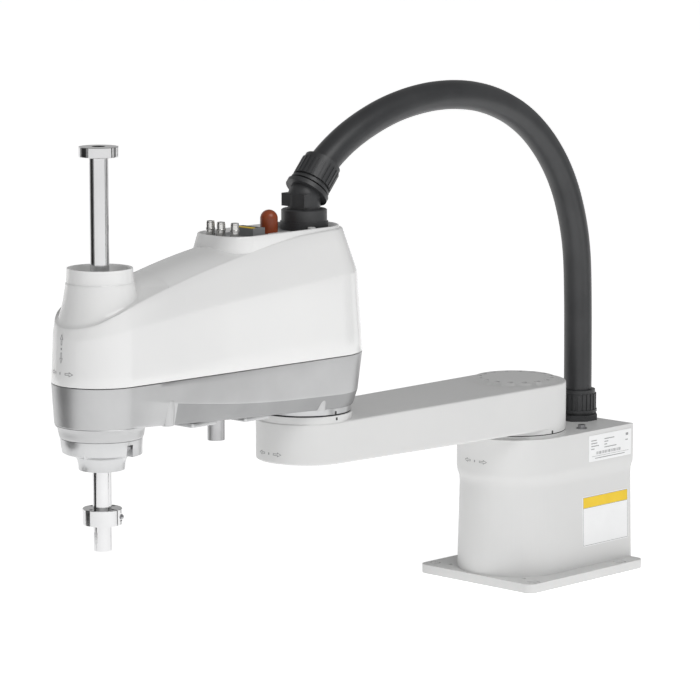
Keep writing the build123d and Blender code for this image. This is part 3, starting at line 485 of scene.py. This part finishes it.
def add_rows(side):
    first = len(cover_verts)
    n = len(rows[0][2])
    for cx, angle, profile in rows:
        for w, z in profile:
            cover_verts.append((cx + w * math.cos(angle), side * w * math.sin(angle), z))
    for k in range(len(rows) - 1):
        for i in range(n - 1):
            a = first + k * n + i
            cover_faces.append((a, a + 1, a + n + 1, a + n))


add_rows(1)
add_rows(-1)


def add_grid(grid):
    first = len(cover_verts)
    n = len(grid[0])
    for line in grid:
        cover_verts.extend(line)
    for k in range(len(grid) - 1):
        for i in range(n - 1):
            a = first + k * n + i
            cover_faces.append((a, a + 1, a + n + 1, a + n))


# the top from the elbow's end to just behind the collar
JOIN_X = 586.0
grid = []
for k in range(0, 96):
    x = ELBOW_X + 2.5 * k
    edge = catmull(STATIONS, x)[3] - 1.3
    line = []
    for i in range(-36, 37):
        y = edge * i / 36
        line.append((x, y, top_height(x, y) + 0.05))
    grid.append(line)
add_grid(grid)
grid = []
for k in range(0, 61):
    a = math.radians(90 + 3 * k)
    line = []
    for r in (0, 12, 24, 34.5, 35.7, 36.5, 37.5, 39.0, 40.2):
        x, y = ELBOW_X + r * math.cos(a), r * math.sin(a)
        z = 428.0 if r < 35.6 else 440.0 + 3.0 * (1 - (r / 40.2)**2.2)
        line.append((x, y, z + 0.05))
    grid.append(line)
add_grid(grid)
# the collar and the surface that flows out of it, in directions round the quill
grid = []
for k in range(0, 241):
    a = math.radians(1.5 * k)
    c, s = math.cos(a), math.sin(a)
    if c > 0:
        angle = math.degrees(math.atan2(abs(s), c))
        reach = catmull(NOSE_TURN, angle)[2] - 1.3
    else:
        # out to the ridge, or to the join behind the collar
        low, high = 30.0, 90.0
        for _ in range(40):
            mid = (low + high) / 2
            x, y = QUILL_X + mid * c, mid * s
            inside = x > JOIN_X and abs(y) < catmull(STATIONS, x)[3] - 1.3
            low, high = (mid, high) if inside else (low, mid)
        reach = low
    line = [(QUILL_X + r * c, r * s, z) for r, z in ((31.6, 423.2), (32.0, 423.6), (33.9, 423.6))]
    radii = [34.3, 34.5, 34.7, 34.88, 34.98, 35.4, 35.7, 35.9, 36.2, 36.6, 37.0, 37.4, 37.8, 38.2, 38.7, 39.2,
             39.8, 40.4, 41.0, 41.7, 42.5, 43.3, 44.2]
    radii = [r for r in radii if r < reach - 0.3]
    rest = [radii[-1] + (reach - radii[-1]) * i / (24 - len(radii)) for i in range(1, 25 - len(radii))]
    for r in radii + rest:
        x, y = QUILL_X + r * c, r * s
        base = top_height(x, y) + 0.05
        z = smooth_max(collar_height(r), base, 7.0)
        if r > reach - 3:
            z = z + (base - z) * (r - reach + 3) / 3
        line.append((x, y, z))
    grid.append(line)
add_grid(grid)
# inside of the collar
grid = []
for k in range(0, 97):
    a = 2 * math.pi * k / 96
    wall = ((31.6, 423.2), (31.0, 422.0), (31.0, 398.0))
    grid.append([(QUILL_X + r * math.cos(a), r * math.sin(a), z) for r, z in wall])
add_grid(grid)
cover_points = [(x / 1000, y / 1000, z / 1000) for x, y, z in cover_verts]
cover = obj_from("cover_shell", cover_points, cover_faces, cover_white, weld=0.00004)
mark_sharp(cover, 50)
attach(cover, "arm2")
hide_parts("arm2_cover")


# raised rim of the connector deck
def deck_ring(rear_r, nose_r, nose_y, z, nose_x):
    points = hull_outline([(350, 0, rear_r), (nose_x, nose_y, nose_r), (nose_x, -nose_y, nose_r)], 240)
    return [(x / 1000, y / 1000, z / 1000) for x, y in points]


rim = lofted("deck_rim", [
    deck_ring(38.5, 36.0, 2.5, 422.0, 466.5), deck_ring(38.5, 34.6, 4.0, 427.0, 465.8),
    deck_ring(38.3, 31.6, 7.0, 434.5, 463.8), deck_ring(38.0, 28.9, 9.4, 441.6, 462.3),
    deck_ring(37.6, 28.2, 9.9, 442.8, 462), deck_ring(37.0, 27.5, 10, 443.1, 462),
    deck_ring(35.8, 26.3, 10, 443.1, 462), deck_ring(35.2, 25.8, 10, 442.6, 462),
    deck_ring(35.0, 25.6, 10, 426.5, 462),
], cover_white)
mark_sharp(rim, 60)
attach(rim, "arm2")

for name, width in (("base_casting", 0.0012), ("arm1_casting", 0.0012), ("quill_housing", 0.0006)):
    softened(name, width)

# ------------------------------------------------------------------ the second arm's casting, in mm
# x: seam half width, crease (half width, height), foot (half width, height)
CAST_STATIONS = [
    (350, 63.4, 58.2, 262.4, 53.0, 246.2),
    (400, 61.4, 57.2, 264.0, 50.4, 248.2),
    (450, 59.4, 56.0, 266.2, 48.2, 250.2),
    (500, 57.4, 54.8, 270.0, 46.8, 252.2),
    (550, 55.4, 53.4, 275.6, 46.4, 255.0),
    (600, 53.4, 52.0, 282.2, 46.8, 258.0),
    (630, 52.2, 51.2, 287.5, 48.6, 260.0),
    (650, 51.4, 50.6, 290.0, 48.8, 261.5),
]


def cast_profile(seam_w, crease_w, crease_z, foot_w, foot_z):
    points = [(seam_w - 3.0, SEAM - 0.3), (seam_w - 1.0, SEAM - 0.3), (seam_w - 0.2, SEAM - 0.8)]
    for t in (0.05, 0.25, 0.5, 0.75, 0.95, 1.0):
        points.append((seam_w + (crease_w - seam_w) * t, SEAM + (crease_z - SEAM) * t))
    for t in (0.06, 0.3, 0.6, 0.9):
        points.append((crease_w + (foot_w - crease_w) * t, crease_z + (foot_z - crease_z) * t))
    points.append((foot_w + 0.05, foot_z + 0.9))
    points.append((foot_w - 0.5, foot_z + 0.2))
    points.append((foot_w - 1.6, foot_z))
    return points


cover_verts, cover_faces = [], []
rows = []
station = catmull(CAST_STATIONS, ELBOW_X)
for k in range(0, 31):
    rows.append((ELBOW_X, math.radians(180 - 3 * k), cast_profile(*station)))
for k in range(1, 60):
    rows.append((ELBOW_X + 5 * k, math.pi / 2, cast_profile(*catmull(CAST_STATIONS, ELBOW_X + 5 * k))))
station = catmull(CAST_STATIONS, QUILL_X)
for k in range(0, 31):
    rows.append((QUILL_X, math.radians(90 - 3 * k), cast_profile(*station)))
add_rows(1)
add_rows(-1)
# underside, a strip between the two feet
grid = []
for cx, angle, profile in rows:
    w, z = profile[-1]
    x, y = cx + w * math.cos(angle), w * math.sin(angle)
    grid.append([(x, y * i / 4, z) for i in range(-4, 5)])
add_grid(grid)
casting_points = [(x / 1000, y / 1000, z / 1000) for x, y, z in cover_verts]
casting = obj_from("casting_shell", casting_points, cover_faces, silver, weld=0.00004)
mark_sharp(casting, 34)
# faces under the crease, short of x 592, take the darker copy: painted shade on the lower flank
casting.data.materials.append(silver_painted_shade)
for face in casting.data.polygons:
    x, z = face.center.x * 1000, face.center.z * 1000
    if x < 592 and z < catmull(CAST_STATIONS, max(x, ELBOW_X))[2]:
        face.material_index = 1
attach(casting, "arm2")
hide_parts("arm2_casting")

# neck between the casting and the quill housing
neck = lathe("casting_neck", (0.650, 0), [(r / 1000, z / 1000) for r, z in (
    (19.6, 262), (47.8, 262), (48.3, 261), (47.6, 259.6), (46.4, 258.6), (45.4, 256.5), (44.8, 253),
    (44.2, 249.5), (43.4, 247.6), (42.4, 247.05), (19.6, 247.05),
)], silver)
mark_sharp(neck, 40)
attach(neck, "arm2")


def boss(name, x, y, r_top, r_foot, top, foot):
    """Tapered screw boss that stands out of the lower flank."""
    outline = [(0, top), (r_top, top), (r_foot, foot + 0.8), (r_foot - 0.3, foot + 0.2), (r_foot - 0.9, foot),
               (2.6, foot), (2.4, foot + 0.4), (2.4, foot + 5), (0, foot + 5)]
    o = lathe(name, (x / 1000, y / 1000), [(r / 1000, z / 1000) for r, z in outline], silver, steps=64)
    mark_sharp(o, 40)
    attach(o, "arm2")


for side in (1, -1):
    tag = "a" if side > 0 else "b"
    boss("boss_front_" + tag, 598, side * 44.6, 8.2, 6.6, 284, 257.2)
    boss("boss_rear_" + tag, 376, side * 47.8, 8.8, 7.0, 266, 246.6)


def soft_rect(u0, v0, u1, v1, r, inset=0.0):
    """Outline of a rectangle with rounded corners."""
    points = []
    corners = ((u1 - r, v1 - r, 0), (u0 + r, v1 - r, 90), (u0 + r, v0 + r, 180), (u1 - r, v0 + r, 270))
    for cu, cv, first in corners:
        for k in range(0, 7):
            a = math.radians(first + 15 * k)
            points.append((cu + (r - inset) * math.cos(a), cv + (r - inset) * math.sin(a)))
    return points


def rounded_plate(name, x0, x1, y0, y1, z0, z1, r, mat, body):
    """Flat plate with rounded corners and softened edges, in mm."""
    rings = []
    for inset, z in ((0.5, z0), (0.1, z0 + 0.15), (0, z0 + 0.5), (0, z1 - 0.5), (0.1, z1 - 0.15), (0.5, z1)):
        rings.append([(x / 1000, y / 1000, z / 1000) for x, y in soft_rect(x0, y0, x1, y1, r, inset)])
    o = lofted(name, rings, mat, True, True)
    mark_sharp(o, 40)
    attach(o, body)
    return o


rounded_plate("belt_plate_front", 524, 561, -6, 43, 249.6, 254.5, 3, light_metal, "arm2")
rounded_plate("belt_plate_rear", 446, 484, -2, 44, 246.6, 251.0, 3, light_metal, "arm2")


# ------------------------------------------------------------------ labels and printed marks, in mm
def film(name, outlines, place, thick, mat, body):
    """Thin printed or stuck-on shapes; place(u, v, lift) puts a point on the surface."""
    verts, faces = [], []
    for outline in outlines:
        first = len(verts)
        n = len(outline)
        for lift in (0.0, thick):
            for u, v in outline:
                verts.append(tuple(c / 1000 for c in place(u, v, lift)))
        faces.append(tuple(range(first + n, first + 2 * n)))
        for i in range(n):
            j = (i + 1) % n
            faces.append((first + i, first + j, first + n + j, first + n + i))
    o = obj_from(name, verts, faces, mat, smooth=False, weld=0.0000001)
    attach(o, body)
    return o


def rect(u0, v0, u1, v1):
    return [(u0, v0), (u1, v0), (u1, v1), (u0, v1)]


def arrow(u, v, length, height, turned=0):
    """Outline of a block arrow drawn with a thin line, as a strip of quads."""
    shape = [(0, -0.22), (0.5, -0.22), (0.5, -0.5), (1, 0), (0.5, 0.5), (0.5, 0.22), (0, 0.22)]
    inner = [(0.07, -0.1), (0.58, -0.1), (0.58, -0.27), (0.88, 0), (0.58, 0.27), (0.58, 0.1), (0.07, 0.1)]
    c, s = math.cos(math.radians(turned)), math.sin(math.radians(turned))

    def at(p):
        x, y = p[0] * length, p[1] * height
        return (u + x * c - y * s, v + x * s + y * c)

    quads = []
    for i in range(len(shape)):
        j = (i + 1) % len(shape)
        quads.append([at(shape[i]), at(shape[j]), at(inner[j]), at(inner[i])])
    return quads


def round_place(cx, r, slope=0.0, z0=0.0):
    """A surface turned about a vertical axis; u is the arc from straight ahead, v the height."""
    def place(u, v, lift):
        here = r + slope * (v - z0)
        return (cx + (here + lift) * math.cos(u / r), (here + lift) * math.sin(u / r), v)
    return place


def rating_place(u, v, lift):
    return (-u, 67.9 + lift, v)


def side_place(u, v, lift):
    return (-u, 66.44 - 0.02356 * v + lift, v)


on_base = round_place(0, 67.45)
film("turn_marks_base",
     arrow(4.7, 143.5, 11, 5.4) + arrow(-8.9, 143.5, 11, 5.4, 180) + [rect(-2.9, 142.2, -1.3, 144.8)],
     on_base, 0.08, grey_ink, "base")
on_arm1 = round_place(ELBOW_X, 53.5)
film("turn_marks_arm1",
     arrow(4.4, 196.5, 11, 5.4) + arrow(-8.6, 196.5, 11, 5.4, 180) + [rect(-2.9, 195.2, -1.3, 197.8)],
     on_arm1, 0.1, grey_ink, "arm1")
on_nose = round_place(QUILL_X, 51.4, -0.051, 305)
film("turn_marks_arm2",
     arrow(1.0, 318.5, 11.5, 5.4) + arrow(-14.8, 318.5, 11, 5.4, 180) + [rect(-7.6, 317.2, -6.2, 319.8)],
     on_nose, 0.12, grey_ink, "arm2")
film("lift_marks_arm2", arrow(-5.8, 347.5, 11.5, 5.4, 90) + arrow(-5.8, 340.0, 11.5, 5.4, -90)
     + [rect(-6.9, 342.6, -4.7, 344.9)], on_nose, 0.12, grey_ink, "arm2")
at_side = math.radians(88.5)
film("zero_mark_arm1_low", [rect(59.4 * at_side - 1.2, 174.8, 59.4 * at_side + 1.2, 178.4)],
     round_place(0, 59.4), 0.15, ink, "arm1")
at_side = math.radians(86.2)
film("zero_mark_arm1_top", [rect(52.6 * at_side - 1.2, 233.6, 52.6 * at_side + 1.2, 236.6)],
     round_place(ELBOW_X, 52.62), 0.12, ink, "arm1")
film("zero_mark_arm2", [rect(51 * at_side - 1.2, 239.6, 51 * at_side + 1.2, 243.4)], round_place(ELBOW_X, 51.0),
     0.15, ink, "arm2")

# rating plate: plain bars where a real one is printed
bars = []
for row, (first, second) in enumerate(((10, 18), (11, 7), (14, 5), (6, 22))):
    z = 158.6 - 3.3 * row
    bars.append(rect(58.5, z, 58.5 + first, z + 1.0))
    bars.append(rect(82.5, z, 82.5 + second, z + 1.0))
x = 68.0
for number in range(26):
    width = (0.5, 1.1, 0.7, 1.4, 0.6)[number * 7 % 5]
    bars.append(rect(x, 142.2, x + width, 145.6))
    x += width + (0.9, 0.6, 1.2)[number % 3]
bars.append(rect(60, 140.2, 127, 140.6))
bars.append(rect(66, 137.4, 120, 138.3))
bars.append(rect(121, 152.6, 125.5, 153.8))
bars.append(rect(121.5, 158.4, 126, 161.4))
film("rating_plate_print", bars, rating_place, 0.05, grey_ink, "base")

# caution plate: white film, thin dark frame, yellow head
film("caution_plate", [soft_rect(47.5, 34, 131, 93.5, 2)], side_place, 0.25, label, "base")
frame_bars = [rect(48.6, 35.0, 129.9, 35.5), rect(48.6, 92.0, 129.9, 92.5), rect(48.6, 35.5, 49.1, 92.0),
              rect(129.4, 35.5, 129.9, 92.0), rect(49.1, 79.3, 129.4, 79.8)]
film("caution_plate_frame", frame_bars, side_place, 0.32, grey_ink, "base")
film("caution_plate_head", [rect(49.1, 79.8, 129.4, 92.0)], side_place, 0.3, yellow_ink, "base")

# small parts on the connector deck
rounded_plate("deck_strip", 398, 430, 23.5, 30.5, 438.4, 441.8, 1.2, paint, "arm2")
rounded_plate("deck_tag", 438, 444.6, -12, 14, 447.3, 448.1, 0.8, yellow_ink, "arm2")
rounded_plate("deck_clip", 452, 459, -27, -17, 438.4, 444.0, 1.5, paint, "arm2")
for number, (x, y) in enumerate(((473, -19), (474, -2), (471, 16))):
    push = lathe("fitting_collar_%d" % number, (x / 1000, y / 1000), [(r / 1000, z / 1000) for r, z in (
        (2.1, 454.1), (4.0, 454.1), (4.3, 454.4), (4.3, 455.6), (4.0, 455.9), (3.0, 455.9), (2.1, 455.3),
    )], nickel, steps=48)
    mark_sharp(push, 40)
    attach(push, "arm2")
    groove = lathe("fitting_band_%d" % number, (x / 1000, y / 1000), [(r / 1000, z / 1000) for r, z in (
        (4.4, 446.4), (5.0, 446.5), (5.2, 446.9), (5.2, 448.1), (5.0, 448.5), (4.4, 448.6),
    )], nickel, steps=48)
    mark_sharp(groove, 40)
    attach(groove, "arm2")


# ------------------------------------------------------------------ the conduit
duct_route = [
    (-0.1135, 0, 0.198), (-0.1135, 0, 0.330), (-0.106, 0, 0.402), (-0.078, 0, 0.472), (-0.024, 0, 0.530),
    (0.046, 0, 0.563), (0.124, 0, 0.573), (0.204, 0, 0.564), (0.272, 0, 0.540), (0.3176, 0, 0.5116),
    (0.3285, 0, 0.4995),
]
DUCT_D = 0.033


def nurbs(name, points, radius):
    curve = bpy.data.curves.new(name, "CURVE")
    curve.dimensions = "3D"
    curve.resolution_u = 24
    curve.bevel_depth = radius
    curve.bevel_resolution = 12
    spline = curve.splines.new("NURBS")
    spline.points.add(len(points) - 1)
    for p, co in zip(spline.points, points):
        p.co = (*co, 1)
    spline.order_u = 3
    spline.use_endpoint_u = True
    o = bpy.data.objects.new(name, curve)
    bpy.context.scene.collection.objects.link(o)
    bpy.context.view_layer.update()
    return o


def curve_mesh(o):
    return bpy.data.meshes.new_from_object(o.evaluated_get(bpy.context.evaluated_depsgraph_get()))


centre_curve = nurbs("duct_centre", duct_route, 0)
centre_mesh = curve_mesh(centre_curve)
bpy.data.objects.remove(centre_curve)
tube_curve = nurbs("duct_tube", duct_route, DUCT_D / 2)
tube_mesh = curve_mesh(tube_curve)
bpy.data.objects.remove(tube_curve)
duct = bpy.data.objects.new("conduit_hose", tube_mesh)
bpy.context.scene.collection.objects.link(duct)
duct.data.materials.clear()
duct.data.materials.append(hose)
for p in duct.data.polygons:
    p.use_smooth = True
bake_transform(duct)
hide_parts("cable_duct")

# ------------------------------------------------------------------ stage, light, camera
bpy.ops.mesh.primitive_plane_add(size=80, location=(0, 0, -0.0005))
floor = bpy.context.object
floor.name = "floor"
floor.data.materials.append(floor_mat)

world = bpy.data.worlds.new("studio")
bpy.context.scene.world = world
world.use_nodes = True
tree = world.node_tree
where = tree.nodes.new("ShaderNodeTexCoord")
split = tree.nodes.new("ShaderNodeSeparateXYZ")
tree.links.new(where.outputs["Generated"], split.inputs["Vector"])
turn = tree.nodes.new("ShaderNodeMath")
turn.operation = "ARCTAN2"
tree.links.new(split.outputs["Y"], turn.inputs[0])
tree.links.new(split.outputs["X"], turn.inputs[1])
around = tree.nodes.new("ShaderNodeMapRange")
around.inputs["From Min"].default_value = -math.pi
around.inputs["From Max"].default_value = math.pi
tree.links.new(turn.outputs[0], around.inputs["Value"])
# brightness of the studio walls by direction in degrees: white screens with dark gaps between them
WALLS = [(-180, 0.35), (-139, 0.4), (-110, 0.7), (-84, 0.7), (-62, 0.35), (-46, 0.1), (-20, 0.1), (5, 0.3),
         (30, 0.55), (60, 0.55), (90, 0.45), (118, 0.4), (125, 0.08), (131, 0.08), (138, 0.4), (158, 0.35),
         (180, 0.35)]
walls = tree.nodes.new("ShaderNodeValToRGB")
walls.color_ramp.interpolation = "EASE"
walls.color_ramp.elements.remove(walls.color_ramp.elements[1])
for number, (degrees, level) in enumerate(WALLS):
    position = (degrees + 180) / 360
    if number == 0:
        stop = walls.color_ramp.elements[0]
        stop.position = position
    else:
        stop = walls.color_ramp.elements.new(position)
    stop.color = (level, level, level, 1)
tree.links.new(around.outputs["Result"], walls.inputs["Fac"])
overhead = tree.nodes.new("ShaderNodeMapRange")
overhead.interpolation_type = "SMOOTHSTEP"
overhead.inputs["From Min"].default_value = 0.3
overhead.inputs["From Max"].default_value = 0.72
tree.links.new(split.outputs["Z"], overhead.inputs["Value"])
blend_up = tree.nodes.new("ShaderNodeMix")
blend_up.data_type = "RGBA"
blend_up.inputs["B"].default_value = (0.24, 0.24, 0.24, 1)
tree.links.new(overhead.outputs["Result"], blend_up.inputs["Factor"])
tree.links.new(walls.outputs["Color"], blend_up.inputs["A"])
tree.links.new(blend_up.outputs["Result"], tree.nodes["Background"].inputs["Color"])
tree.nodes["Background"].inputs["Strength"].default_value = 1.0


def area(name, place, target, size, power, color=(1, 1, 1)):
    data = bpy.data.lights.new(name, "AREA")
    data.shape = "RECTANGLE"
    data.size, data.size_y = size
    data.energy = power
    data.color = color
    o = bpy.data.objects.new(name, data)
    bpy.context.scene.collection.objects.link(o)
    o.location = place
    o.rotation_mode = "QUATERNION"
    o.rotation_quaternion = (Vector(target) - Vector(place)).to_track_quat("-Z", "Y")
    return o


area("key", (0.8, 2.1, 2.6), (0.4, 0, 0.3), (2.4, 1.4), 38)


def screen(name, direction, distance, wide, high, mat):
    """Standing studio screen in a direction in degrees, there only to be mirrored in bright metal."""
    a = math.radians(direction)
    along = (-math.sin(a), math.cos(a))
    cx, cy = 0.35 + distance * math.cos(a), distance * math.sin(a)
    rings = []
    for out in (0.0, 0.01):
        ring = []
        for side, z in ((-0.5, 0.0), (0.5, 0.0), (0.5, high), (-0.5, high)):
            x = cx + along[0] * side * wide + math.cos(a) * out
            y = cy + along[1] * side * wide + math.sin(a) * out
            ring.append((x, y, z))
        rings.append(ring)
    o = lofted(name, rings, mat, True, True)
    for p in o.data.polygons:
        p.use_smooth = False
    o.visible_camera = False
    o.visible_shadow = False
    o.visible_diffuse = False


black_cloth = material("studio_black", (0.015, 0.015, 0.015), 0.9)
mottle(black_cloth, 8, (0.012, 0.012, 0.012), (0.02, 0.02, 0.02))
grey_cloth = material("studio_grey", (0.3, 0.3, 0.3), 0.9)
mottle(grey_cloth, 8, (0.27, 0.27, 0.27), (0.33, 0.33, 0.33))
screen("flag_front", -34, 0.95, 0.5, 0.9, black_cloth)
screen("flag_front_grey", -40, 1.3, 1.5, 1.2, grey_cloth)
screen("flag_side", 114, 0.9, 0.16, 0.55, black_cloth)
screen("flag_back", 150, 1.6, 0.8, 0.7, grey_cloth)

heading = math.radians(223.76)
pitch = math.radians(-8.68)
look = Vector((math.cos(heading) * math.cos(pitch), math.sin(heading) * math.cos(pitch), math.sin(pitch)))
cam_data = bpy.data.cameras.new("camera")
cam = bpy.data.objects.new("camera", cam_data)
bpy.context.scene.collection.objects.link(cam)
bpy.context.scene.camera = cam
cam.location = (3.1225, 2.7241, 0.8981)
cam.rotation_mode = "QUATERNION"
cam.rotation_quaternion = look.to_track_quat("-Z", "Y")
cam_data.lens = 184.98
cam_data.sensor_width = 36
cam_data.clip_start = 0.1
cam_data.clip_end = 200
bpy.context.scene.view_settings.view_transform = "Standard"
